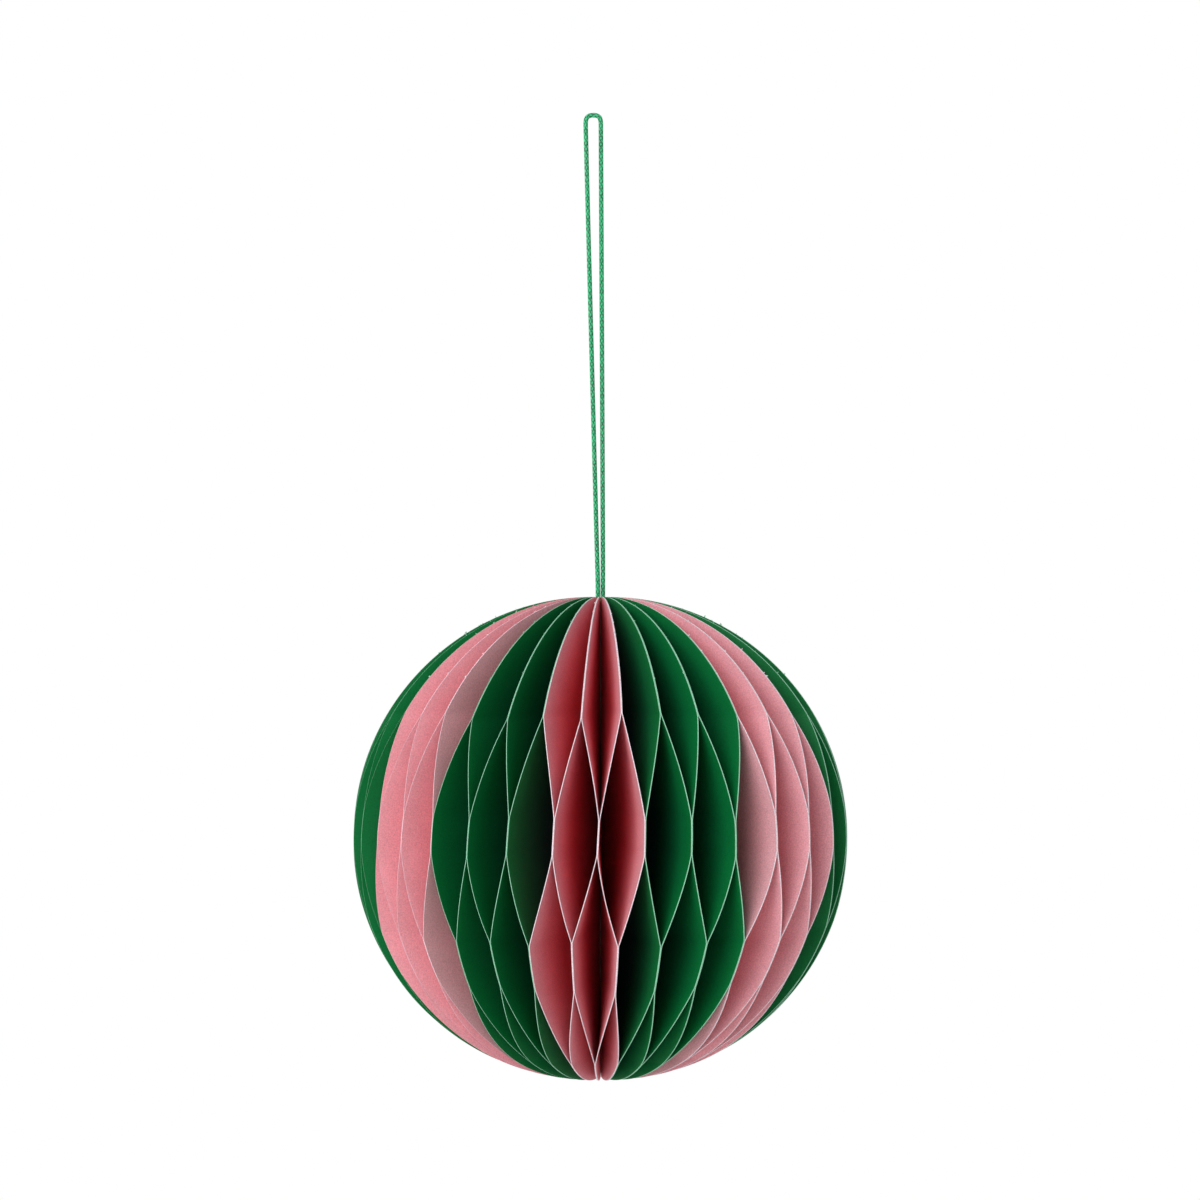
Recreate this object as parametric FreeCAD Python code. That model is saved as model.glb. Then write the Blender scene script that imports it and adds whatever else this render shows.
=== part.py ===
"""Honeycomb paper ball on a cord loop.  Millimetres, +Z up.

The origin is the point where a hook bears inside the crown of the loop, and the ball hangs
below it.  Seventy half-disc leaves of card stand round an upright spine.  Neighbouring leaves
are glued together on level bands, and each band joins the other pair of neighbours than the
band above it, so the leaves zigzag between the glue planes and open into diamond cells.  A
bead of glue fills the spine, binds the leaves' straight edges and grips the cord's tails.
"""
import FreeCAD, Part
import math
import os
from FreeCAD import Vector

# ---- the leaves --------------------------------------------------------------------------
BALL_WIDTH = 100.0          # across the cut edges of opposite leaves
PAPER = 0.14                # card thickness
LEAF_COUNT = 70
STRIPE_LEAVES = 5           # leaves of one colour that lie side by side
SPINE_RADIUS = 1.95         # the straight edge of each leaf stands this far from the axis
POLE_TRIM = 0.05            # the half disc is cut flat this far short of its two tips
COLOURS = ("pink", "green")
FIRST_LEAF = -3             # first leaf of the front pink stripe, counted from the front plane

# glue bands as (lowest height, highest height), from the ball's centre; even bands join the
# leaves across even glue planes, odd bands across odd planes
BOTTOM_END = -42.2
LOWER_BAND = (-25.6, -16.4)
MIDDLE_BAND = (-0.2, 6.6)
TOP_START = 25.6
BEND = 0.3                  # how gently a leaf leaves the band that is nearer the equator

# how the opened fan departs from even spacing, in degrees of azimuth
WIDER_SIDE = 6.8            # the +X side stands more open than the -X side
WIDER_FRONT = 3.2
WAVE = -2.7                 # twice round the ball
OFFSET = -0.73
TWIST = 0.037               # per millimetre of height

# ---- the cord ----------------------------------------------------------------------------
CORD = 0.83                 # diameter
LOOP_HEIGHT = 98.5          # from the top pole to the crown's outer edge
CROWN_WIDTH = 3.1           # between the strands' centres just below the crown
POLE_SPACING = 1.0          # between the strands' centres at the pole
TAIL = 9.0                  # length of each tail inside the spine
ARC_SHARE = 0.45            # share of a tail that the bend at the pole takes
PLUMB_OFFSET = 1.47         # the spine stands this far to +X of the hanging point

# ---- the glue that fills the spine -------------------------------------------------------
GLUE_RADIUS = 1.94
GLUE_SHORT = 0.9            # the glue ends this far short of the leaves' tips

# ---- derived -----------------------------------------------------------------------------
PITCH = 2.0 * math.pi / LEAF_COUNT
CORE_RADIUS = LEAF_COUNT * PAPER / (2.0 * math.pi)      # where the leaves would close up
DISC_RADIUS = BALL_WIDTH / 2.0 - CORE_RADIUS
POLE = DISC_RADIUS - POLE_TRIM                          # height of the flat tips
CROWN_RADIUS = CROWN_WIDTH / 2.0
CENTRE_Z = -(DISC_RADIUS + LOOP_HEIGHT - CORD)          # the ball's centre below the origin
CENTRE = Vector(PLUMB_OFFSET, 0.0, CENTRE_Z)
LEVELS_PER_SPAN = 9


def outline(z):
    """Radius of the leaf's round edge at height z above the ball's centre."""
    return CORE_RADIUS + math.sqrt(DISC_RADIUS ** 2 - z ** 2)


def plane_azimuth(k, z):
    """Azimuth of glue plane k at height z, in radians from the front."""
    even = PITCH * k
    uneven = (WIDER_SIDE * (1.0 - math.cos(even)) + WIDER_FRONT * math.sin(even)
              + WAVE * math.sin(2.0 * even) + OFFSET + TWIST * z)
    return even + math.radians(uneven)


def glued_corner(k, rho, z, side):
    """Plan position of a leaf's two faces at radius rho, on its glued stretch.

    The leaf touches plane k with one face.  side is +1 if the leaf lies on the plane's
    higher-azimuth side and -1 if it lies on the lower side.  Returns the touching face first.
    """
    angle = plane_azimuth(k, z)
    radial = Vector(math.sin(angle), -math.cos(angle), 0.0)
    across = Vector(math.cos(angle), math.sin(angle), 0.0)
    touching = radial * rho
    return touching, touching + across * (side * PAPER)


def leaf_faces(n, rho, z, blend):
    """Plan positions of leaf n's lower- and higher-azimuth faces.

    blend is 0 where the leaf is glued across the even plane beside it and 1 where it is
    glued across the odd one.  Leaf n stands between planes n and n + 1.
    """
    low_touch, low_free = glued_corner(n, rho, z, +1)
    high_touch, high_free = glued_corner(n + 1, rho, z, -1)
    share = blend if n % 2 == 0 else 1.0 - blend
    lower = low_touch * (1.0 - share) + high_free * share
    higher = low_free * (1.0 - share) + high_touch * share
    return lower, higher


def spans():
    """Stretches of a leaf from bottom to top: (low z, high z, blend at low, blend at high,
    which end is nearer the equator, or None on a glued stretch)."""
    return (
        (-POLE, BOTTOM_END, 0.0, 0.0, None),
        (BOTTOM_END, LOWER_BAND[0], 0.0, 1.0, "high"),
        (LOWER_BAND[0], LOWER_BAND[1], 1.0, 1.0, None),
        (LOWER_BAND[1], MIDDLE_BAND[0], 1.0, 0.0, "high"),
        (MIDDLE_BAND[0], MIDDLE_BAND[1], 0.0, 0.0, None),
        (MIDDLE_BAND[1], TOP_START, 0.0, 1.0, "low"),
        (TOP_START, POLE, 1.0, 1.0, None),
    )


def span_levels(low, high, blend_low, blend_high, near):
    """Heights and blends up one span, closer together towards the poles."""
    first = math.asin(low / DISC_RADIUS)
    last = math.asin(high / DISC_RADIUS)
    levels = []
    for i in range(LEVELS_PER_SPAN):
        step = i / (LEVELS_PER_SPAN - 1.0)
        z = DISC_RADIUS * math.sin(first + (last - first) * step)
        rise = (z - low) / (high - low)
        if near is None:
            share = 0.0
        elif near == "low":
            share = (1.0 - BEND) * rise + BEND * rise ** 2
        else:
            fall = 1.0 - rise
            share = 1.0 - ((1.0 - BEND) * fall + BEND * fall ** 2)
        levels.append((z, blend_low + (blend_high - blend_low) * share, step))
    return levels


def rail(points, steps):
    """A smooth edge through points, with the same parameter at the same height on each."""
    curve = Part.BSplineCurve()
    curve.interpolate(Points=points, Parameters=steps)
    return curve.toShape()


def quad(a, b, c, d):
    """A flat four-cornered face."""
    return Part.Face(Part.makePolygon([a, b, c, d, a]))


def leaf(n):
    """Leaf n as a closed solid, standing round the ball's centre."""
    faces = []
    for span in spans():
        levels = span_levels(*span)
        steps = [step for _, _, step in levels]
        rails = []
        for at_rim in (False, True):
            lower_points = []
            higher_points = []
            for z, blend, _ in levels:
                rho = outline(z) if at_rim else SPINE_RADIUS
                lower, higher = leaf_faces(n, rho, z, blend)
                lower_points.append(CENTRE + lower + Vector(0, 0, z))
                higher_points.append(CENTRE + higher + Vector(0, 0, z))
            rails.append((rail(lower_points, steps), rail(higher_points, steps)))
        (spine_low, spine_high), (rim_low, rim_high) = rails
        for first, second in ((spine_low, rim_low), (spine_high, rim_high),
                              (spine_low, spine_high), (rim_low, rim_high)):
            faces.append(Part.makeRuledSurface(first, second))
    for z, blend in ((-POLE, 0.0), (POLE, 1.0)):
        inner = leaf_faces(n, SPINE_RADIUS, z, blend)
        outer = leaf_faces(n, outline(z), z, blend)
        up = CENTRE + Vector(0, 0, z)
        faces.append(quad(up + inner[0], up + outer[0], up + outer[1], up + inner[1]))
    shell = Part.makeShell(faces)
    shell.sewShape()
    solid = Part.makeSolid(shell)
    if solid.Volume < 0:
        solid.reverse()
    return solid


def cord_points():
    """Corners of the cord's route, from one tail's end over the crown to the other's."""
    pole_z = CENTRE_Z + DISC_RADIUS
    crown_top = CORD / 2.0
    left_pole = Vector(PLUMB_OFFSET - POLE_SPACING / 2.0, 0, pole_z)
    right_pole = Vector(PLUMB_OFFSET + POLE_SPACING / 2.0, 0, pole_z)
    down = Vector(0, 0, -TAIL)
    return [left_pole + down, left_pole,
            Vector(-CROWN_RADIUS, 0, crown_top), Vector(CROWN_RADIUS, 0, crown_top),
            right_pole, right_pole + down]


def filleted_path(points, radii):
    """Straight runs through points, joined by tangent arcs of the given radii."""
    edges = []
    start = points[0]
    for i in range(1, len(points) - 1):
        into = (points[i] - points[i - 1]).normalize()
        out = (points[i + 1] - points[i]).normalize()
        turn = into.getAngle(out)
        setback = radii[i - 1] * math.tan(turn / 2.0)
        begin = points[i] - into * setback
        end = points[i] + out * setback
        inward = (out - into).normalize()
        centre = points[i] + inward * (radii[i - 1] / math.cos(turn / 2.0))
        middle = centre - inward * radii[i - 1]
        if (begin - start).Length > 1e-6:
            edges.append(Part.LineSegment(start, begin).toShape())
        edges.append(Part.Arc(begin, middle, end).toShape())
        start = end
        print("cord arc radius %.2f mm, turn %.1f degrees" % (radii[i - 1], math.degrees(turn)))
    edges.append(Part.LineSegment(start, points[-1]).toShape())
    return Part.Wire(edges)


def cord():
    """The loop of cord, a plain round tube along its route."""
    points = cord_points()
    setbacks = (ARC_SHARE * TAIL, CROWN_RADIUS, CROWN_RADIUS, ARC_SHARE * TAIL)
    radii = []
    for i, setback in enumerate(setbacks, start=1):
        turn = (points[i] - points[i - 1]).getAngle(points[i + 1] - points[i])
        radii.append(setback / math.tan(turn / 2.0))
    path = filleted_path(points, radii)
    section = Part.Wire(Part.Circle(points[0], Vector(0, 0, 1), CORD / 2.0).toShape())
    tube = path.makePipeShell([section], True, False)
    ratio = tube.Volume / (math.pi * CORD ** 2 / 4.0 * path.Length)
    print("cord length %.1f mm, volume over section times length %.4f" % (path.Length, ratio))
    return tube


def glue(cord_solid):
    """The bead of glue that binds the leaves' straight edges and grips the cord's tails."""
    half = POLE - GLUE_SHORT
    bead = Part.makeCylinder(GLUE_RADIUS, 2.0 * half, CENTRE - Vector(0, 0, half))
    return bead.cut(cord_solid)


def node_name(stripe, colour_stripe, leaf_numbers):
    """Name of a node that holds the given leaves, numbered from 1 in their colour."""
    colour = COLOURS[stripe % 2]
    first = colour_stripe * STRIPE_LEAVES + leaf_numbers[0] + 1
    if len(leaf_numbers) == 1:
        return "%s_leaf_%02d" % (colour, first)
    return "%s_leaves_%02d_%02d" % (colour, first, first + len(leaf_numbers) - 1)


def nodes():
    """Every node's name and shape.  The last two leaves of a stripe share a node."""
    single = STRIPE_LEAVES - 2
    groups = [(i,) for i in range(single)] + [(single, single + 1)]
    for stripe in range(LEAF_COUNT // STRIPE_LEAVES):
        for group in groups:
            solids = [leaf(FIRST_LEAF + stripe * STRIPE_LEAVES + i) for i in group]
            name = node_name(stripe, stripe // 2, group)
            yield name, solids[0] if len(solids) == 1 else Part.makeCompound(solids)
    loop = cord()
    yield "hanging_cord", loop
    yield "spine_glue", glue(loop)


def main():
    os.makedirs("parts", exist_ok=True)
    paper = 0.0
    for name, shape in nodes():
        if not shape.isValid():
            print("not valid:", name)
        shape.exportStep("parts/%s.step" % name)
        if "lea" in name:
            paper += shape.Volume
    print("disc radius %.2f mm, core radius %.2f mm, paper %.0f mm3"
          % (DISC_RADIUS, CORE_RADIUS, paper))


main()
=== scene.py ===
"""Honeycomb paper ball on a braided loop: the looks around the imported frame.

Metres, +Z up, in the frame of the model.  The ball is seventy card leaves that stand round a
hollow spine and are glued to each other on level bands.  Its loop of cord goes into the spine.
"""

import logging
import math
from dataclasses import asdict, dataclass
from enum import Enum
from functools import partial
from typing import Any

import bpy
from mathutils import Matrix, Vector


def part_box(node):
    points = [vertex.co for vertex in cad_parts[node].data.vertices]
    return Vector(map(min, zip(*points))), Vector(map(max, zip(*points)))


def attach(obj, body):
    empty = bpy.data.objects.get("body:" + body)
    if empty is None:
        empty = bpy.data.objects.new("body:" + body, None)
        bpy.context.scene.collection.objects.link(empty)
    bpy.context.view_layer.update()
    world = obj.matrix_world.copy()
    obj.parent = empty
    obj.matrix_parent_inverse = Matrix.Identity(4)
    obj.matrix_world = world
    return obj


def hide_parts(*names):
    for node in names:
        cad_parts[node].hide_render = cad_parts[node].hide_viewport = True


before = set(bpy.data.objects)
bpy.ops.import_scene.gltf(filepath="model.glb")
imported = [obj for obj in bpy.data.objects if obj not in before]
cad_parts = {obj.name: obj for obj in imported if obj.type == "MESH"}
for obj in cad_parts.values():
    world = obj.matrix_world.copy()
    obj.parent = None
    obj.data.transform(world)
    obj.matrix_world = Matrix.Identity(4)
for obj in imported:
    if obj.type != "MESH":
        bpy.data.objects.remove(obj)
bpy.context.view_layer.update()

MM = 0.001
ROOT = "root"
MATH = "ShaderNodeMath"
SOCKETS = {float: "NodeSocketFloat", int: "NodeSocketInt", Vector: "NodeSocketVector",
           type(None): "NodeSocketGeometry"}

log = logging.getLogger("honeycomb_ball")


# ---- shared helpers ------------------------------------------------------------------------

def linear(colour: str) -> tuple[float, float, float, float]:
    """Turns an sRGB hex colour into linear light.

    Args:
        colour: six hex digits.

    Returns:
        Red, green, blue and an alpha of 1.
    """
    channels = [int(colour[i:i + 2], 16) / 255.0 for i in (0, 2, 4)]
    red, green, blue = (c / 12.92 if c <= 0.04045 else ((c + 0.055) / 1.055) ** 2.4
                        for c in channels)
    return red, green, blue, 1.0


def add_node(tree: bpy.types.NodeTree, kind: str, *feeds: Any,
             named: dict[str | int, Any] | None = None, **settings: Any) -> bpy.types.Node:
    """Adds a node with its settings and links.

    Args:
        tree: the tree that gets the node.
        kind: the node's type.
        feeds: what goes into its sockets in order: a socket or node to link, a value to set,
            or None to leave the socket alone.
        named: the same for single sockets, by name or number.
        settings: the node's properties.

    Returns:
        The new node.
    """
    node = tree.nodes.new(kind)
    for setting, value in settings.items():
        setattr(node, setting, value)
    for key, feed in [*enumerate(feeds), *(named or {}).items()]:
        if isinstance(feed, bpy.types.Node):
            feed = feed.outputs[0]
        if isinstance(feed, bpy.types.NodeSocket):
            tree.links.new(feed, node.inputs[key])
        elif feed is not None:
            node.inputs[key].default_value = feed
    return node


def new_tree(name: str, sizes: dict[str, Any],
             results: dict[str, str]) -> tuple[bpy.types.NodeTree, dict[str, Any]]:
    """Starts a geometry node tree with named inputs and outputs.

    Args:
        name: the tree's name.
        sizes: each input's name and default value, which is None for geometry.
        results: each output's name and socket type.

    Returns:
        The tree, and its input sockets by name.
    """
    tree = bpy.data.node_groups.new(name, "GeometryNodeTree")
    for label, value in sizes.items():
        socket = tree.interface.new_socket(label, in_out="INPUT",
                                           socket_type=SOCKETS[type(value)])
        if value is not None:
            socket.default_value = value
    for label, kind in results.items():
        tree.interface.new_socket(label, in_out="OUTPUT", socket_type=kind)
    entry = add_node(tree, "NodeGroupInput")
    return tree, {label: entry.outputs[label] for label in sizes}


def grown(name: str, seed_mesh: bpy.types.Mesh, tree: bpy.types.NodeTree,
          sizes: dict[str, Any]) -> bpy.types.Object:
    """Runs a tree on a mesh and keeps the result as a plain mesh.

    Args:
        name: the piece's name.
        seed_mesh: the mesh that the tree starts from.
        tree: the geometry node tree.
        sizes: values of the tree's named inputs.

    Returns:
        The finished piece, with no modifier left on it.
    """
    piece = bpy.data.objects.new(name, seed_mesh)
    bpy.context.scene.collection.objects.link(piece)
    modifier = piece.modifiers.new(name, "NODES")
    modifier.node_group = tree
    for socket in tree.interface.items_tree:
        if socket.in_out == "INPUT" and socket.name in sizes:
            modifier[socket.identifier] = sizes[socket.name]
    evaluated = piece.evaluated_get(bpy.context.evaluated_depsgraph_get())
    mesh = bpy.data.meshes.new_from_object(evaluated)
    piece.modifiers.remove(modifier)
    piece.data = mesh
    bpy.data.meshes.remove(seed_mesh)
    return piece


def as_inputs(sizes: Any) -> dict[str, Any]:
    """Lists a dataclass's fields by the names that the trees give their inputs."""
    return {name.replace("_", " ").capitalize(): value for name, value in asdict(sizes).items()}


def report(piece: bpy.types.Object) -> None:
    """Logs a finished piece and how many triangles it has."""
    triangles = sum(len(polygon.vertices) - 2 for polygon in piece.data.polygons)
    log.info("%s: %d triangles", piece.name, triangles)


# ---- finishes ------------------------------------------------------------------------------

@dataclass(frozen=True)
class Card:
    """Uncoated card, dyed on both faces over a pale core: dull, with a fine fibre mottle.

    Its colour holds painted shade: paler near the rim, and darker and deeper in colour further
    into the cells, where shade falls.
    """

    name: str
    rim: str
    inside: str
    faded: float = 22.0 * MM        # how far in from the rim the painted shade deepens to its darkest
    grain: float = 0.32             # spread of brightness from clump to clump of fibres
    clump: float = 0.25 * MM        # of fibres; single fibres are too fine to show
    cloud: float = 7.0 * MM         # slow drift of tone across a sheet
    clump_share: float = 0.8        # of the mottle; the clouds have the rest
    cloud_share: float = 0.2
    noise_low: float = 0.3          # the noise's usual lowest and highest value
    noise_high: float = 0.7
    tone_middle: float = 0.97
    roughness: float = 0.6
    specular: float = 0.2
    relief: float = 0.03 * MM
    relief_strength: float = 0.5

    def build(self) -> bpy.types.Material:
        """Makes the material.

        Returns:
            The card's material.
        """
        material = bpy.data.materials.new(self.name)
        material.use_nodes = True
        tree = material.node_tree
        add = partial(add_node, tree)
        shader = tree.nodes["Principled BSDF"]
        place = add("ShaderNodeTexCoord").outputs["Object"]
        fibres = add("ShaderNodeTexNoise", place,
                     named={"Scale": 1.0 / self.clump, "Detail": 1.0})
        clouds = add("ShaderNodeTexNoise", place,
                     named={"Scale": 1.0 / self.cloud, "Detail": 1.0})
        depth = add("ShaderNodeAttribute", attribute_name="depth").outputs["Fac"]
        # painted shade: the colour goes from the rim colour at the rim to the darker, deeper
        # colour further into the cell
        painted_shade_fac = add("ShaderNodeMapRange", depth, 0.0, self.faded, 1.0, 0.0)
        dye_and_painted_shade = add("ShaderNodeMix", painted_shade_fac, data_type="RGBA",
                  named={6: linear(self.inside), 7: linear(self.rim)})
        mottle = add(MATH, fibres, self.clump_share, operation="MULTIPLY")
        mottle = add(MATH, clouds, self.cloud_share, mottle, operation="MULTIPLY_ADD")
        spread = add("ShaderNodeMapRange", mottle, self.noise_low, self.noise_high,
                     self.tone_middle - self.grain / 2.0, self.tone_middle + self.grain / 2.0)
        tone = add("ShaderNodeMix", 1.0, data_type="RGBA", blend_type="MULTIPLY",
                   named={6: dye_and_painted_shade.outputs[2], 7: spread})
        tree.links.new(tone.outputs[2], shader.inputs["Base Color"])
        bump = add("ShaderNodeBump", named={"Height": fibres, "Strength": self.relief_strength,
                                            "Distance": self.relief})
        tree.links.new(bump.outputs[0], shader.inputs["Normal"])
        shader.inputs["Roughness"].default_value = self.roughness
        shader.inputs["Specular IOR Level"].default_value = self.specular
        return material


@dataclass(frozen=True)
class BraidedCotton:
    """Waxed cotton, braided from eight strands, in random patches of tone with painted shade:
    pale on top, deep green in the dips and on the core.
    """

    name: str
    light: str
    dark: str
    patch: float = 0.6 * MM         # stretch of a strand that keeps one tone
    fibre: float = 0.12 * MM
    dip_shade_share: float = 0.42        # how much the painted shade from a strand's height counts beside the patches
    darkest: float = 0.3            # sums of height and patch at which the tones end
    lightest: float = 0.9
    relief: float = 0.02 * MM
    relief_strength: float = 0.4
    roughness: float = 0.6

    def build(self) -> bpy.types.Material:
        """Makes the material.

        Returns:
            The cord's material.
        """
        material = bpy.data.materials.new(self.name)
        material.use_nodes = True
        tree = material.node_tree
        add = partial(add_node, tree)
        shader = tree.nodes["Principled BSDF"]
        place = add("ShaderNodeTexCoord").outputs["Object"]
        patches = add("ShaderNodeTexNoise", place, named={"Scale": 1.0 / self.patch})
        fibres = add("ShaderNodeTexNoise", place, named={"Scale": 1.0 / self.fibre})
        lift = add("ShaderNodeAttribute", attribute_name="lift").outputs["Fac"]
        # painted shade: the lower a strand lies, the darker it is drawn, mixed with random
        # patches of tone
        height = add(MATH, lift, self.dip_shade_share, patches, operation="MULTIPLY_ADD")
        spread = add("ShaderNodeMapRange", height, self.darkest, self.lightest, 0.0, 1.0)
        tone = add("ShaderNodeMix", spread, data_type="RGBA",
                   named={6: linear(self.dark), 7: linear(self.light)})
        tree.links.new(tone.outputs[2], shader.inputs["Base Color"])
        bump = add("ShaderNodeBump", named={"Height": fibres, "Strength": self.relief_strength,
                                            "Distance": self.relief})
        tree.links.new(bump.outputs[0], shader.inputs["Normal"])
        shader.inputs["Roughness"].default_value = self.roughness
        return material


# ---- the ball ------------------------------------------------------------------------------

class Colour(Enum):
    """The two colours of card, as the start of their nodes' names."""

    PINK = "pink"
    GREEN = "green"


@dataclass
class HoneycombBall:
    """The fan of leaves, opened into a ball.  Metres, and degrees of azimuth from the front."""

    leaf_count: int = 70
    stripe_leaves: int = 5
    first_leaf: int = -3
    card: float = 0.14 * MM
    spine_radius: float = 1.95 * MM
    pole_trim: float = 0.05 * MM
    # ends of the glue bands, as heights from the ball's centre
    bottom_end: float = -42.2 * MM
    lower_start: float = -25.6 * MM
    lower_end: float = -16.4 * MM
    middle_start: float = -0.2 * MM
    middle_end: float = 6.6 * MM
    top_start: float = 25.6 * MM
    bend: float = 0.3
    ragged: float = 0.7 * MM        # how far a band's end strays
    # how the opened fan departs from even spacing
    wider_side: float = 6.8
    wider_front: float = 3.2
    wave: float = -2.7
    offset: float = -0.73
    twist: float = 0.037 / MM
    uneven: float = 0.7
    bevel: float = 25.0             # slant of the cut: the lower-azimuth face is the smaller
    # how far in from the cut the pale core shows on the lower-azimuth face and on the other
    fray_lower: float = 0.07 * MM
    fray_higher: float = 0.03 * MM
    # die-cut nicks: the stubs that held each leaf in its sheet
    nick_width: float = 0.24 * MM
    nick_length: float = 0.34 * MM
    nick_tip: float = 0.06 * MM     # radius of a stub's blunt end
    nick_stray: float = 0.6 * MM    # how far a stub is from its row
    nick_lean: float = 0.8          # how far a stub leans, as a share of its own direction
    nick_smallest: float = 0.6
    nick_largest: float = 1.2
    nick_chance: float = 0.5
    rows: int = 190
    columns: int = 9

    # the nicks' heights above the ball's centre
    NICKS = tuple(height * MM for height in (46.4, 44.8, 43.1, 40.6, 37.5, 33.0))
    NICK_SIDES = 5
    # the unevenness of the planes: noise steps per metre of height, and its scale
    HEIGHT_STEPS = 35.0
    NOISE_SCALE = 0.73
    HAIR = 0.001                    # keeps a comparison clear of rounding
    CORNER = 0.8                    # radians; sharper edges than this are drawn crisp
    # seeds of the stubs' random draws, and what keeps the stubs of one leaf apart
    SEED_STRAY, SEED_CHANCE, SEED_LEAN, SEED_SIZE = 11, 12, 13, 14
    LEAF_STRIDE = 31.0

    def __post_init__(self) -> None:
        """Takes the ball's place and size from its nodes."""
        leaves = [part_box(name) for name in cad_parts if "lea" in name]
        low = Vector(min(box[0][i] for box in leaves) for i in range(3))
        high = Vector(max(box[1][i] for box in leaves) for i in range(3))
        self.centre = (low + high) / 2.0
        self.core_radius = self.leaf_count * self.card / math.tau
        self.disc_radius = (high - low).x / 2.0 - self.core_radius

    def sizes(self) -> dict[str, Any]:
        """Sizes that the trees take, by the names of their inputs.

        Returns:
            Each input's name and value.
        """
        sizes = as_inputs(self)
        sizes["Core radius"] = self.core_radius
        sizes["Disc radius"] = self.disc_radius
        sizes["Centre"] = self.centre
        return sizes

    def plane_tree(self) -> bpy.types.NodeTree:
        """Makes the group that gives a glue plane's azimuth at a height.

        Returns:
            The group, with an output in radians.
        """
        tree, given = new_tree("glue plane", {"Plane": 0.0, "Height": 0.0, **self.sizes()},
                               {"Azimuth": "NodeSocketFloat"})
        add = partial(add_node, tree)
        pitch = add(MATH, math.tau, given["Leaf count"], operation="DIVIDE")
        even = add(MATH, given["Plane"], pitch, operation="MULTIPLY")
        cosine = add(MATH, even, operation="COSINE")
        open_side = add(MATH, 1.0, cosine, operation="SUBTRACT")
        open_front = add(MATH, even, operation="SINE")
        twice = add(MATH, even, 2.0, operation="MULTIPLY")
        wave = add(MATH, twice, operation="SINE")
        degrees = given["Offset"]
        for size, factor in (("Wider side", open_side), ("Wider front", open_front),
                             ("Wave", wave), ("Twist", given["Height"])):
            degrees = add(MATH, given[size], factor, degrees, operation="MULTIPLY_ADD")
        turn = add(MATH, given["Plane"], given["Leaf count"], operation="FLOORED_MODULO")
        along = add(MATH, given["Height"], self.HEIGHT_STEPS, operation="MULTIPLY")
        spot = add("ShaderNodeCombineXYZ", turn, along)
        noise = add("ShaderNodeTexNoise", spot, noise_dimensions="2D",
                    named={"Scale": self.NOISE_SCALE, "Detail": 0.0})
        stray = add(MATH, noise, 0.5, operation="SUBTRACT")
        stray = add(MATH, stray, 2.0, operation="MULTIPLY")
        degrees = add(MATH, stray, given["Uneven"], degrees, operation="MULTIPLY_ADD")
        extra = add(MATH, degrees, operation="RADIANS")
        azimuth = add(MATH, even, extra, operation="ADD")
        add("NodeGroupOutput", azimuth)
        return tree

    def leaf_tree(self) -> bpy.types.NodeTree:
        """Makes the group that gives a point of a leaf.

        A leaf stands between the glue planes of its own number and the next.  It lies on its
        even plane in the bottom and middle bands and on its odd plane in the other two, and
        crosses from plane to plane between them.

        Returns:
            The group, which takes the leaf's number, the side of the card from 0 to 1, the
            distance from the axis and the height, and gives the position.
        """
        own = {"Leaf": 0.0, "Side": 0.0, "Out": 0.0, "Height": 0.0}
        tree, given = new_tree("leaf", {**own, **self.sizes()}, {"Position": "NodeSocketVector"})
        add = partial(add_node, tree)
        shared = {label: given[label] for label in self.sizes()}
        odd = add(MATH, given["Leaf"], 2.0, operation="FLOORED_MODULO")
        even_plane = add(MATH, given["Leaf"], odd, operation="ADD")
        after = add(MATH, given["Leaf"], 1.0, operation="ADD")
        odd_plane = add(MATH, after, odd, operation="SUBTRACT")

        ends = {}
        for seed, (label, plane) in enumerate((
                ("Bottom end", even_plane), ("Lower start", odd_plane),
                ("Lower end", odd_plane), ("Middle start", even_plane),
                ("Middle end", even_plane), ("Top start", odd_plane))):
            turn = add(MATH, plane, given["Leaf count"], operation="FLOORED_MODULO")
            back = add(MATH, given["Ragged"], -1.0, operation="MULTIPLY")
            stray = add("FunctionNodeRandomValue", data_type="FLOAT",
                        named={2: back, 3: given["Ragged"], "ID": turn, "Seed": seed})
            ends[label] = add(MATH, given[label], stray.outputs[1], operation="ADD")

        straight = add(MATH, 1.0, given["Bend"], operation="SUBTRACT")
        share = 0.0
        for low, high, at_low, at_high, sign in (
                ("Bottom end", "Lower start", 1.0, 0.0, -1.0),
                ("Lower end", "Middle start", 1.0, 0.0, 1.0),
                ("Middle end", "Top start", 0.0, 1.0, 1.0)):
            run = add("ShaderNodeMapRange", given["Height"], ends[low], ends[high],
                      at_low, at_high)
            slope = add(MATH, run, given["Bend"], straight, operation="MULTIPLY_ADD")
            crossing = add(MATH, run, slope, operation="MULTIPLY")
            share = add(MATH, crossing, sign, share, operation="MULTIPLY_ADD")
        toward_next = add(MATH, odd, share, operation="SUBTRACT")
        toward_next = add(MATH, toward_next, operation="ABSOLUTE")

        back = add(MATH, given["Out"], -1.0, operation="MULTIPLY")
        planes = self.plane_tree()
        points = []
        for step in (0, 1):
            plane = add(MATH, given["Leaf"], float(step), operation="ADD")
            azimuth = add("GeometryNodeGroup", node_tree=planes,
                          named={"Plane": plane, "Height": given["Height"], **shared})
            beside = add(MATH, given["Side"], float(step), operation="SUBTRACT")
            beside = add(MATH, beside, given["Card"], operation="MULTIPLY")
            flat = add("ShaderNodeCombineXYZ", beside, back, given["Height"])
            points.append(add("ShaderNodeVectorRotate", flat, rotation_type="Z_AXIS",
                              named={"Angle": azimuth}))
        mixed = add("ShaderNodeMix", toward_next, data_type="VECTOR",
                    named={4: points[0], 5: points[1]})
        placed = add("ShaderNodeVectorMath", mixed.outputs[1], given["Centre"], operation="ADD")
        add("NodeGroupOutput", placed)
        return tree

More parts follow.
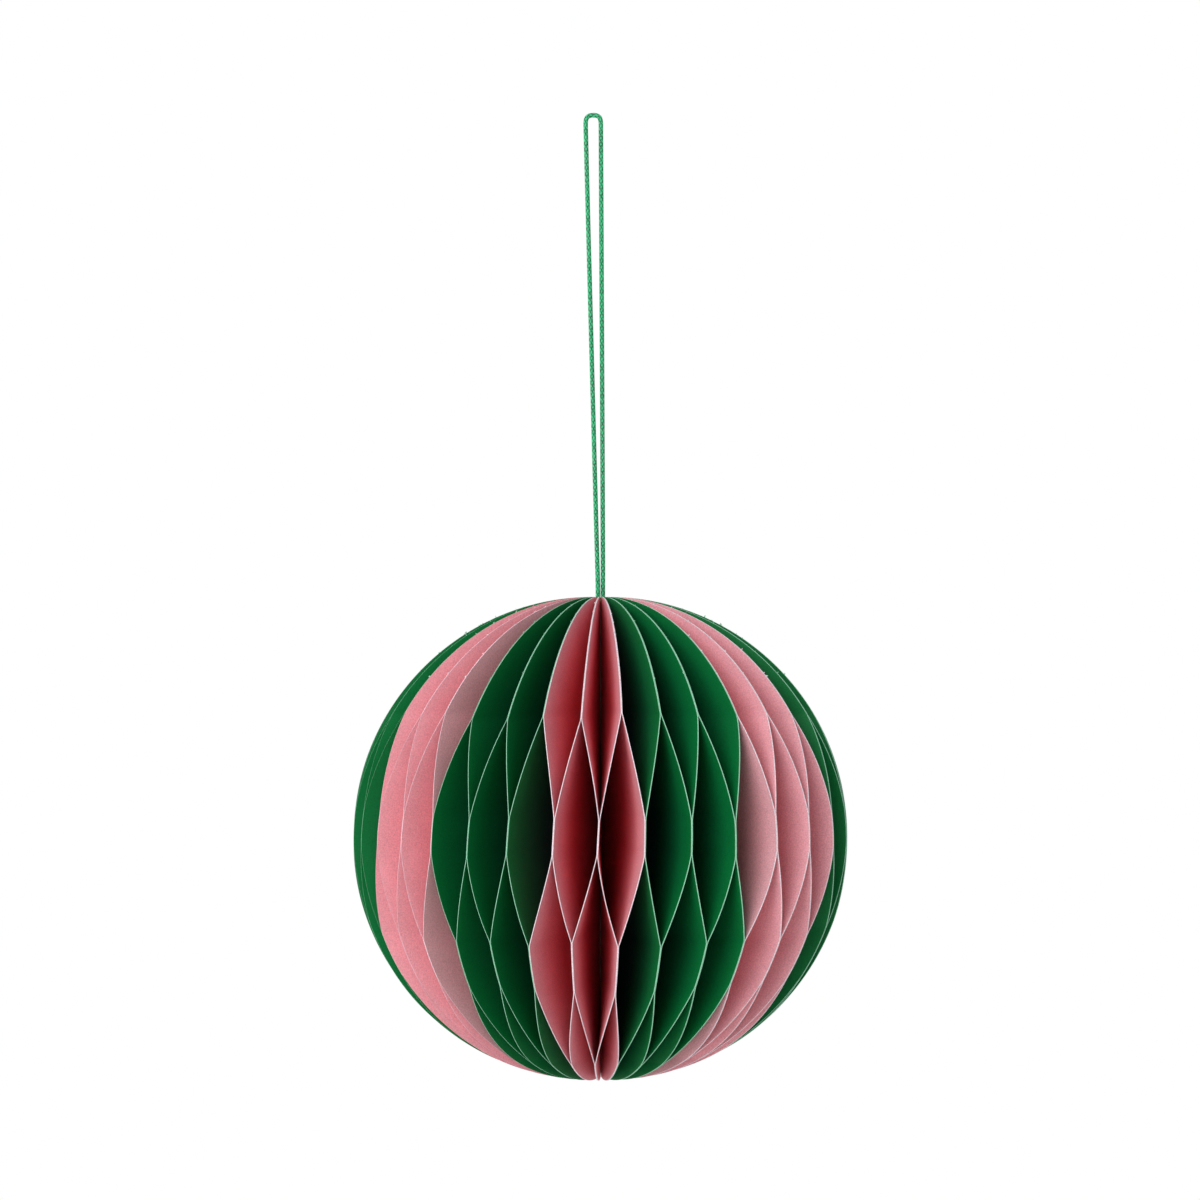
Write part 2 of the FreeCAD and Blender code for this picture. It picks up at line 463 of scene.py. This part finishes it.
    def stripe_tree(self, face: bpy.types.Material,
                    cut: bpy.types.Material) -> bpy.types.NodeTree:
        """Makes the tree that grows a stripe: some neighbouring leaves of one colour.

        Args:
            face: the card's material.
            cut: the material of its cut edges.

        Returns:
            The tree.
        """
        sizes = {**self.sizes(), "First leaf": 0}
        tree, given = new_tree("stripe", sizes, {"Geometry": "NodeSocketGeometry"})
        add = partial(add_node, tree)
        shared = {label: given[label] for label in self.sizes()}
        sheet = add("GeometryNodeMeshCube", (1.0, 1.0, 1.0), 2, given["Columns"], given["Rows"])
        row = add("GeometryNodeMeshLine", given["Stripe leaves"],
                  named={"Offset": (0.0, 0.0, 0.0)})
        leaves = add("GeometryNodeInstanceOnPoints", row, None, sheet)
        number = add(MATH, add("GeometryNodeInputIndex"), given["First leaf"], operation="ADD")
        named = add("GeometryNodeStoreNamedAttribute", leaves, None, "leaf", number,
                    data_type="FLOAT", domain="INSTANCE")
        solid = add("GeometryNodeRealizeInstances", named)

        unit = add("ShaderNodeSeparateXYZ", add("GeometryNodeInputPosition"))
        side, reach, rise = (add(MATH, unit.outputs[i], 0.5, operation="ADD") for i in range(3))
        gaps = add(MATH, given["Columns"], 1.0, operation="SUBTRACT")
        last_gap = add(MATH, 1.0, gaps, operation="DIVIDE")
        sound = add(MATH, 1.0, last_gap, operation="SUBTRACT")
        past = add(MATH, reach, add(MATH, sound, self.HAIR, operation="ADD"),
                   operation="GREATER_THAN")
        marked = add("GeometryNodeStoreNamedAttribute", solid, None, "cut", past,
                     data_type="BOOLEAN", domain="FACE")
        pole = add(MATH, given["Disc radius"], given["Pole trim"], operation="SUBTRACT")
        last = add(MATH, pole, given["Disc radius"], operation="DIVIDE")
        last = add(MATH, last, operation="ARCSINE")
        slope = add("ShaderNodeMapRange", rise, 0.0, 1.0,
                    add(MATH, last, -1.0, operation="MULTIPLY"), last)
        height = add(MATH, add(MATH, slope, operation="SINE"), given["Disc radius"],
                     operation="MULTIPLY")
        rim = add(MATH, add(MATH, slope, operation="COSINE"), given["Disc radius"],
                  given["Core radius"], operation="MULTIPLY_ADD")
        shorter = add(MATH, add(MATH, given["Bevel"], operation="RADIANS"), operation="TANGENT")
        shorter = add(MATH, shorter, given["Card"], operation="MULTIPLY")
        other_side = add(MATH, side, 1.0, operation="SUBTRACT")
        rim = add(MATH, other_side, shorter, rim, operation="MULTIPLY_ADD")
        fray = add("ShaderNodeMapRange", side, 0.0, 1.0, given["Fray lower"],
                   given["Fray higher"])
        whole = add(MATH, rim, fray, operation="SUBTRACT")
        out = add("ShaderNodeMapRange", reach, 0.0, sound, given["Spine radius"], whole)
        out = add(MATH, past, fray, out, operation="MULTIPLY_ADD")
        # depth in from the rim, which the cards' finishes read for their painted shade
        kept = add("GeometryNodeStoreNamedAttribute", marked, None, "depth",
                   add(MATH, rim, out, operation="SUBTRACT"), data_type="FLOAT", domain="POINT")
        leaf_number = add("GeometryNodeInputNamedAttribute", "leaf", data_type="FLOAT")
        leaf = self.leaf_tree()
        point = add("GeometryNodeGroup", node_tree=leaf,
                    named={"Leaf": leaf_number, "Side": side, "Out": out, "Height": height,
                           **shared})
        shaped = add("GeometryNodeSetPosition", kept, None, point)
        outward = add("GeometryNodeFlipFaces", shaped)
        smooth = add("GeometryNodeSetShadeSmooth", outward, None, True, domain="FACE")
        corner = add("FunctionNodeCompare", add("GeometryNodeInputMeshEdgeAngle"), self.CORNER,
                     data_type="FLOAT", operation="GREATER_THAN")
        crisp = add("GeometryNodeSetShadeSmooth", smooth, corner, False, domain="EDGE")
        both = add("GeometryNodeJoinGeometry", crisp)
        tree.links.new(self.nicks(tree, given, shared, leaf).outputs[0], both.inputs[0])
        real = add("GeometryNodeRealizeInstances", both)
        faces = add("GeometryNodeSetMaterial", real, None, face)
        cut_faces = add("GeometryNodeInputNamedAttribute", "cut", data_type="BOOLEAN")
        edges = add("GeometryNodeSetMaterial", faces, cut_faces, cut)
        add("NodeGroupOutput", edges)
        return tree

    def nicks(self, tree: bpy.types.NodeTree, given: dict[str, Any], shared: dict[str, Any],
              leaf: bpy.types.NodeTree) -> bpy.types.Node:
        """Adds the branch that scatters the stubs of card left at the die's nicks.

        Args:
            tree: the stripe's tree.
            given: its inputs.
            shared: the inputs that the leaf group takes too.
            leaf: the group that gives a point of a leaf.

        Returns:
            The node that holds the stubs.
        """
        add = partial(add_node, tree)
        count = len(self.NICKS)
        total = add(MATH, given["Stripe leaves"], float(count), operation="MULTIPLY")
        row = add("GeometryNodeMeshLine", total, named={"Offset": (0.0, 0.0, 0.0)})
        index = add("GeometryNodeInputIndex")
        which = add(MATH, index, float(count), operation="FLOORED_MODULO")
        number = add(MATH, add(MATH, index, float(count), operation="DIVIDE"), operation="FLOOR")
        number = add(MATH, number, given["First leaf"], operation="ADD")
        heights = add("GeometryNodeIndexSwitch", which, data_type="FLOAT")
        for _ in range(count - 2):
            heights.index_switch_items.new()
        for place, height in enumerate(self.NICKS, start=1):
            heights.inputs[place].default_value = height
        seed = add(MATH, number, self.LEAF_STRIDE, which, operation="MULTIPLY_ADD")
        back = add(MATH, given["Nick stray"], -1.0, operation="MULTIPLY")
        stray = add("FunctionNodeRandomValue", data_type="FLOAT",
                    named={2: back, 3: given["Nick stray"], "ID": seed, "Seed": self.SEED_STRAY})
        height = add(MATH, heights, stray.outputs[1], operation="ADD")
        square = add(MATH, height, height, operation="MULTIPLY")
        whole = add(MATH, given["Disc radius"], 2.0, operation="POWER")
        reach = add(MATH, add(MATH, whole, square, operation="SUBTRACT"), operation="SQRT")
        rim = add(MATH, reach, given["Core radius"], operation="ADD")
        point = add("GeometryNodeGroup", node_tree=leaf,
                    named={"Leaf": number, "Side": 0.5, "Out": rim, "Height": height, **shared})
        placed = add("GeometryNodeSetPosition", row, None, point)
        chance = add("FunctionNodeRandomValue", data_type="BOOLEAN",
                     named={"Probability": given["Nick chance"], "ID": seed,
                            "Seed": self.SEED_CHANCE})
        stub = add("GeometryNodeMeshCone", self.NICK_SIDES, 1, 1, given["Nick tip"], named={
            "Radius Bottom": add(MATH, given["Nick width"], 0.5, operation="MULTIPLY"),
            "Depth": given["Nick length"]})
        outward = add("ShaderNodeVectorMath", point, given["Centre"], operation="SUBTRACT")
        outward = add("ShaderNodeVectorMath", outward, operation="NORMALIZE")
        least, most = (Vector((lean, lean, lean)) for lean in (-self.nick_lean, self.nick_lean))
        lean = add("FunctionNodeRandomValue", data_type="FLOAT_VECTOR",
                   named={0: least, 1: most, "ID": seed, "Seed": self.SEED_LEAN})
        pointing = add("ShaderNodeVectorMath", outward, lean, operation="ADD")
        turn = add("FunctionNodeAlignRotationToVector", None, None, pointing, axis="Z")
        size = add("FunctionNodeRandomValue", data_type="FLOAT",
                   named={2: given["Nick smallest"], 3: given["Nick largest"], "ID": seed,
                          "Seed": self.SEED_SIZE})
        stubs = add("GeometryNodeInstanceOnPoints", placed, chance.outputs[3], stub,
                    named={"Rotation": turn, "Scale": size.outputs[1]})
        real = add("GeometryNodeRealizeInstances", stubs)
        return add("GeometryNodeStoreNamedAttribute", real, None, "cut", True,
                   data_type="BOOLEAN", domain="FACE")

    def build(self,
              finishes: dict[Colour, tuple[bpy.types.Material, bpy.types.Material]]) -> None:
        """Builds every stripe and puts it in place of its nodes.

        Args:
            finishes: each colour's card and cut edge.
        """
        trees = {colour: self.stripe_tree(*finishes[colour]) for colour in Colour}
        for stripe in range(self.leaf_count // self.stripe_leaves):
            colour = list(Colour)[stripe % 2]
            turn = stripe // 2
            first = turn * self.stripe_leaves
            name = f"{colour.value}_stripe_{turn + 1}"
            sizes = {**self.sizes(), "First leaf": self.first_leaf + stripe * self.stripe_leaves}
            piece = grown(name, bpy.data.meshes.new(name), trees[colour], sizes)
            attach(piece, ROOT)
            nodes = [f"{colour.value}_leaf_{first + i:02d}" for i in (1, 2, 3)]
            nodes.append(f"{colour.value}_leaves_{first + 4:02d}_{first + 5:02d}")
            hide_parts(*nodes)
            report(piece)


# ---- the cord ------------------------------------------------------------------------------

@dataclass
class HangingCord:
    """A loop of thin braided cord, from the ball's spine over the crown and back."""

    diameter: float = 0.83 * MM
    length: float = 216.0 * MM
    crown_half_width: float = 1.55 * MM
    crown_shoulder: float = 0.75 * MM
    crown_side: float = 3.0 * MM
    pole_half_spacing: float = 0.48 * MM
    # how much further out each side stands, a tail's length above the pole
    left_spread: float = 0.25 * MM
    right_spread: float = 0.03 * MM
    meeting: float = 1.5 * MM       # height above the pole at which the two sides come together
    tail: float = 9.0 * MM
    strands: int = 8
    turn_length: float = 5.0 * MM   # of one strand round the cord
    braid_radius: float = 0.39 * MM
    weave: float = 0.03 * MM
    strand_width: float = 0.5 * MM
    strand_height: float = 0.12 * MM
    core_radius: float = 0.385 * MM
    samples: int = 1700

    SPLINE_STEPS = 40               # points of the centreline between two corners
    SPLINE_ORDER = 3
    STRAND_SIDES = 6
    CORE_SIDES = 8

    def route(self, ball: HoneycombBall) -> list[Vector]:
        """Lists the route's corners from one tail's end to the other's.

        Args:
            ball: the ball that the cord goes into.

        Returns:
            The corners.
        """
        pole = ball.centre + Vector((0.0, 0.0, ball.disc_radius))
        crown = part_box("hanging_cord")[1].z - self.braid_radius - self.weave
        crown -= self.strand_height / 2.0
        half, spacing = self.crown_half_width, self.pole_half_spacing
        return [
            pole + Vector((-spacing, 0.0, -self.tail)),
            pole + Vector((-spacing, 0.0, self.meeting)),
            pole + Vector((-spacing - self.left_spread, 0.0, self.tail)),
            Vector((-half, 0.0, crown - self.crown_side)),
            Vector((-half, 0.0, crown - self.crown_shoulder)),
            Vector((-half + self.crown_shoulder, 0.0, crown)),
            Vector((half - self.crown_shoulder, 0.0, crown)),
            Vector((half, 0.0, crown - self.crown_shoulder)),
            Vector((half, 0.0, crown - self.crown_side)),
            pole + Vector((spacing + self.right_spread, 0.0, self.tail)),
            pole + Vector((spacing, 0.0, self.meeting)),
            pole + Vector((spacing, 0.0, -self.tail)),
        ]

    def line(self, corners: list[Vector]) -> list[Vector]:
        """Reads the cord's smooth centreline from a spline over its corners.

        Args:
            corners: the route.

        Returns:
            Points along the centreline.
        """
        curve = bpy.data.curves.new("cord_route", "CURVE")
        curve.dimensions = "3D"
        curve.resolution_u = self.SPLINE_STEPS
        spline = curve.splines.new("NURBS")
        spline.points.add(len(corners) - 1)
        for point, corner in zip(spline.points, corners):
            point.co = (*corner, 1.0)
        spline.order_u = self.SPLINE_ORDER
        spline.use_endpoint_u = True
        carrier = bpy.data.objects.new("cord_route", curve)
        bpy.context.scene.collection.objects.link(carrier)
        evaluated = carrier.evaluated_get(bpy.context.evaluated_depsgraph_get())
        mesh = bpy.data.meshes.new_from_object(evaluated)
        points = [vertex.co.copy() for vertex in mesh.vertices]
        bpy.data.objects.remove(carrier)
        bpy.data.curves.remove(curve)
        bpy.data.meshes.remove(mesh)
        return points

    def braid_tree(self, finish: bpy.types.Material) -> bpy.types.NodeTree:
        """Makes the tree that braids strands round a line.

        Half of the strands wind each way.  Where two cross, the one is a little further out
        and the other a little further in.

        Args:
            finish: the cord's material.

        Returns:
            The tree.
        """
        sizes = {"Line": None, "Strands": 8, "Turn length": 0.0, "Braid radius": 0.0,
                 "Weave": 0.0, "Strand width": 0.0, "Strand height": 0.0, "Core radius": 0.0,
                 "Samples": 0}
        tree, given = new_tree("braid", sizes, {"Geometry": "NodeSocketGeometry"})
        add = partial(add_node, tree)
        path = add("GeometryNodeMeshToCurve", given["Line"])
        even = add("GeometryNodeResampleCurve", path, None, given["Samples"])
        copies = add("GeometryNodeDuplicateElements", even, None, given["Strands"],
                     domain="SPLINE")
        numbered = add("GeometryNodeStoreNamedAttribute", copies, None, "strand",
                       copies.outputs[1], data_type="FLOAT", domain="CURVE")
        strand = add("GeometryNodeInputNamedAttribute", "strand", data_type="FLOAT")
        odd = add(MATH, strand, 2.0, operation="FLOORED_MODULO")
        hand = add(MATH, odd, -2.0, 1.0, operation="MULTIPLY_ADD")
        pair = add(MATH, add(MATH, strand, 2.0, operation="DIVIDE"), operation="FLOOR")
        step = add(MATH, 2.0 * math.tau, given["Strands"], operation="DIVIDE")
        start = add(MATH, pair, step, operation="MULTIPLY")
        along = add("GeometryNodeSplineParameter").outputs["Length"]
        turns = add(MATH, along, given["Turn length"], operation="DIVIDE")
        wound = add(MATH, turns, math.tau, operation="MULTIPLY")
        angle = add(MATH, wound, hand, start, operation="MULTIPLY_ADD")
        crossings = add(MATH, given["Strands"], 0.5, operation="MULTIPLY")
        beat = add(MATH, add(MATH, angle, crossings, operation="MULTIPLY"), operation="COSINE")
        lift = add(MATH, beat, hand, operation="MULTIPLY")
        radius = add(MATH, lift, given["Weave"], given["Braid radius"], operation="MULTIPLY_ADD")
        normal = add("GeometryNodeInputNormal")
        tangent = add("GeometryNodeInputTangent")
        around = add("ShaderNodeVectorRotate", normal, None, tangent, angle,
                     rotation_type="AXIS_ANGLE")
        offset = add("ShaderNodeVectorMath", around, operation="SCALE", named={"Scale": radius})
        # the strand's lift also drives the painted shade of the cord's finish
        lifted = add("GeometryNodeStoreNamedAttribute", numbered, None, "lift", lift,
                     data_type="FLOAT", domain="POINT")
        facing_out = add("GeometryNodeCaptureAttribute", lifted)
        facing_out.capture_items.new("VECTOR", "Outward")
        tree.links.new(around.outputs[0], facing_out.inputs[1])
        wound_up = add("GeometryNodeSetPosition", facing_out, named={"Offset": offset})
        flat_side = add("GeometryNodeSetCurveNormal", wound_up, None, facing_out.outputs[1],
                        mode="FREE")
        ring = add("GeometryNodeCurvePrimitiveCircle", self.STRAND_SIDES, named={"Radius": 0.5})
        shape = add("ShaderNodeCombineXYZ", given["Strand height"], given["Strand width"], 1.0)
        section = add("GeometryNodeTransform", ring, named={"Scale": shape})
        plies = add("GeometryNodeCurveToMesh", flat_side, section, named={"Fill Caps": True})
        core_section = add("GeometryNodeCurvePrimitiveCircle", self.CORE_SIDES,
                           named={"Radius": given["Core radius"]})
        core = add("GeometryNodeCurveToMesh", path, core_section, named={"Fill Caps": True})
        # the core lies lowest, so the finish draws it in full painted shade
        core = add("GeometryNodeStoreNamedAttribute", core, None, "lift", -1.0,
                   data_type="FLOAT", domain="POINT")
        both = add("GeometryNodeJoinGeometry", plies)
        tree.links.new(core.outputs[0], both.inputs[0])
        smooth = add("GeometryNodeSetShadeSmooth", both, None, True)
        real = add("GeometryNodeRealizeInstances", smooth)
        add("NodeGroupOutput", add("GeometryNodeSetMaterial", real, None, finish))
        return tree

    def build(self, ball: HoneycombBall, finish: bpy.types.Material) -> None:
        """Args:
            ball: the ball that the cord goes into.
            finish: the cord's material.
        """
        line = self.line(self.route(ball))
        mesh = bpy.data.meshes.new("hanging_loop")
        mesh.from_pydata(line, [(i, i + 1) for i in range(len(line) - 1)], [])
        piece = grown("hanging_loop", mesh, self.braid_tree(finish), as_inputs(self))
        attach(piece, ROOT)
        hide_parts("hanging_cord")
        report(piece)


# ---- the glue in the spine -----------------------------------------------------------------

@dataclass(frozen=True)
class HotMeltGlue:
    """Hot-melt glue, poured and set: amber, smooth and cloudy, with a gently wavy skin."""

    name: str = "amber_hot_melt_glue"
    clear: str = "4a2c12"
    cloudy: str = "7a5a34"
    cloud: float = 0.9 * MM
    wave: float = 1.2 * MM          # spacing of the skin's waves
    wave_height: float = 0.05 * MM
    wave_strength: float = 0.6
    noise_low: float = 0.35         # noise below this is clear glue, and above the next cloudy
    noise_high: float = 0.65
    roughness: float = 0.35

    def build(self) -> bpy.types.Material:
        """Makes the material.

        Returns:
            The glue's material.
        """
        material = bpy.data.materials.new(self.name)
        material.use_nodes = True
        tree = material.node_tree
        add = partial(add_node, tree)
        shader = tree.nodes["Principled BSDF"]
        place = add("ShaderNodeTexCoord").outputs["Object"]
        clouds = add("ShaderNodeTexNoise", place, named={"Scale": 1.0 / self.cloud})
        spread = add("ShaderNodeMapRange", clouds, self.noise_low, self.noise_high, 0.0, 1.0)
        tone = add("ShaderNodeMix", spread, data_type="RGBA",
                   named={6: linear(self.clear), 7: linear(self.cloudy)})
        tree.links.new(tone.outputs[2], shader.inputs["Base Color"])
        waves = add("ShaderNodeTexNoise", place, named={"Scale": 1.0 / self.wave, "Detail": 1.0})
        bump = add("ShaderNodeBump", named={"Height": waves, "Strength": self.wave_strength,
                                            "Distance": self.wave_height})
        tree.links.new(bump.outputs[0], shader.inputs["Normal"])
        shader.inputs["Roughness"].default_value = self.roughness
        return material

    def dress(self, node: str) -> None:
        """Puts the glue's finish on a node of the frame.

        Args:
            node: the node's name.
        """
        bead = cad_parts[node]
        bead.data.materials.clear()
        bead.data.materials.append(self.build())


# ---- the studio ----------------------------------------------------------------------------

@dataclass
class Studio:
    """A pale floor far below the ball, a white surround, wide soft lamps and a camera."""

    camera_distance: float = 500.0 * MM
    camera_height: float = 41.7 * MM
    camera_shift: float = -0.1 * MM
    camera_pitch: float = 0.70
    lens: float = 73.9              # focal length and sensor width, both in lens millimetres
    sensor: float = 36.0
    floor_drop: float = 330.0 * MM
    floor_radius: float = 700.0 * MM
    floor_sides: int = 128
    floor_roughness: float = 0.9
    floor_colour: str = "f4f3f1"
    # soft lamps as (name, azimuth, elevation, watts); the main one stands left of the camera
    lamps: tuple[tuple[str, float, float, float], ...] = (
        ("main_lamp", -25.0, 25.0, 4.5), ("low_lamp", -20.0, -25.0, 1.65),
        ("left_lamp", -100.0, 0.0, 3.5), ("right_lamp", 100.0, -30.0, 1.5))
    lamp_distance: float = 900.0 * MM
    lamp_size: float = 600.0 * MM
    surround: float = 0.37          # strength of the light from all round

    def floor(self, centre: Vector) -> None:
        """Lays the round floor.

        Args:
            centre: the ball's centre.
        """
        bpy.ops.mesh.primitive_circle_add(vertices=self.floor_sides, radius=self.floor_radius,
                                          fill_type="NGON")
        floor = bpy.context.object
        floor.name = "floor"
        floor.data.transform(floor.matrix_world.Translation(
            centre + Vector((0.0, 0.0, -self.floor_drop))))
        material = bpy.data.materials.new("matt_floor_paint")
        material.use_nodes = True
        shader = material.node_tree.nodes["Principled BSDF"]
        shader.inputs["Base Color"].default_value = linear(self.floor_colour)
        shader.inputs["Roughness"].default_value = self.floor_roughness
        floor.data.materials.append(material)

    def surround_light(self) -> None:
        """Makes a white surround that lights the object only weakly."""
        world = bpy.data.worlds.new("white_surround")
        bpy.context.scene.world = world
        world.use_nodes = True
        tree = world.node_tree
        add = partial(add_node, tree)
        rays = add("ShaderNodeLightPath").outputs
        seen = add(MATH, rays["Is Camera Ray"], rays["Is Glossy Ray"], operation="MAXIMUM")
        seen = add(MATH, seen, rays["Is Transmission Ray"], operation="MAXIMUM")
        strength = add("ShaderNodeMapRange", seen, 0.0, 1.0, self.surround, 1.0)
        background = tree.nodes["Background"]
        background.inputs["Color"].default_value = (1.0, 1.0, 1.0, 1.0)
        tree.links.new(strength.outputs[0], background.inputs["Strength"])

    def lamp(self, centre: Vector, name: str, azimuth: float, elevation: float,
             watts: float) -> None:
        """Hangs a soft lamp that points at the ball.

        Args:
            centre: the ball's centre.
            name: the lamp's name.
            azimuth: its bearing from the front in degrees, to the right.
            elevation: its height above the ball in degrees.
            watts: its power.
        """
        light = bpy.data.lights.new(name, "AREA")
        light.shape = "DISK"
        light.size = self.lamp_size
        light.energy = watts
        lamp = bpy.data.objects.new(name, light)
        bpy.context.scene.collection.objects.link(lamp)
        turn, rise = math.radians(azimuth), math.radians(elevation)
        away = Vector((math.sin(turn) * math.cos(rise), -math.cos(turn) * math.cos(rise),
                       math.sin(rise)))
        lamp.location = centre + away * self.lamp_distance
        lamp.rotation_euler = (-away).to_track_quat("-Z", "Y").to_euler()

    def camera(self, centre: Vector) -> None:
        """Sets up the camera.

        Args:
            centre: the ball's centre.
        """
        lens = bpy.data.cameras.new("camera")
        lens.lens = self.lens
        lens.sensor_width = self.sensor
        camera = bpy.data.objects.new("camera", lens)
        bpy.context.scene.collection.objects.link(camera)
        camera.location = centre + Vector((self.camera_shift, -self.camera_distance,
                                           self.camera_height))
        camera.rotation_euler = (math.radians(90.0 + self.camera_pitch), 0.0, 0.0)
        bpy.context.scene.camera = camera

    def build(self, centre: Vector) -> None:
        """Sets up the whole studio round the ball.

        Args:
            centre: the ball's centre.
        """
        self.camera(centre)
        self.floor(centre)
        self.surround_light()
        for lamp in self.lamps:
            self.lamp(centre, *lamp)


def main() -> None:
    """Builds the object and its studio."""
    logging.basicConfig(level=logging.INFO, format="%(name)s %(message)s")
    scene = bpy.context.scene
    scene.view_settings.view_transform = "Standard"
    ball = HoneycombBall()
    studio = Studio()
    studio.build(ball.centre)
    # cut edges: the pale core of the card, tinted a little by the dye on its faces
    cut_pink = Card("pink_cut_edge", "f9eaf1", "f9eaf1")
    cut_green = Card("green_cut_edge", "9cd8b8", "9cd8b8")
    # each card: its rim colour, then a darker colour further into the cells that is painted
    # shade
    finishes = {
        Colour.PINK: (Card("pink_dyed_card", "f3b1ba", "f46976", faded=21.0 * MM).build(),
                      cut_pink.build()),
        Colour.GREEN: (Card("green_dyed_card", "017538", "053c34", faded=20.0 * MM).build(),
                       cut_green.build()),
    }
    ball.build(finishes)
    HangingCord().build(ball, BraidedCotton("green_braided_cord", "42c888", "014a2b").build())
    HotMeltGlue().dress("spine_glue")


if __name__ == "__main__":
    main()
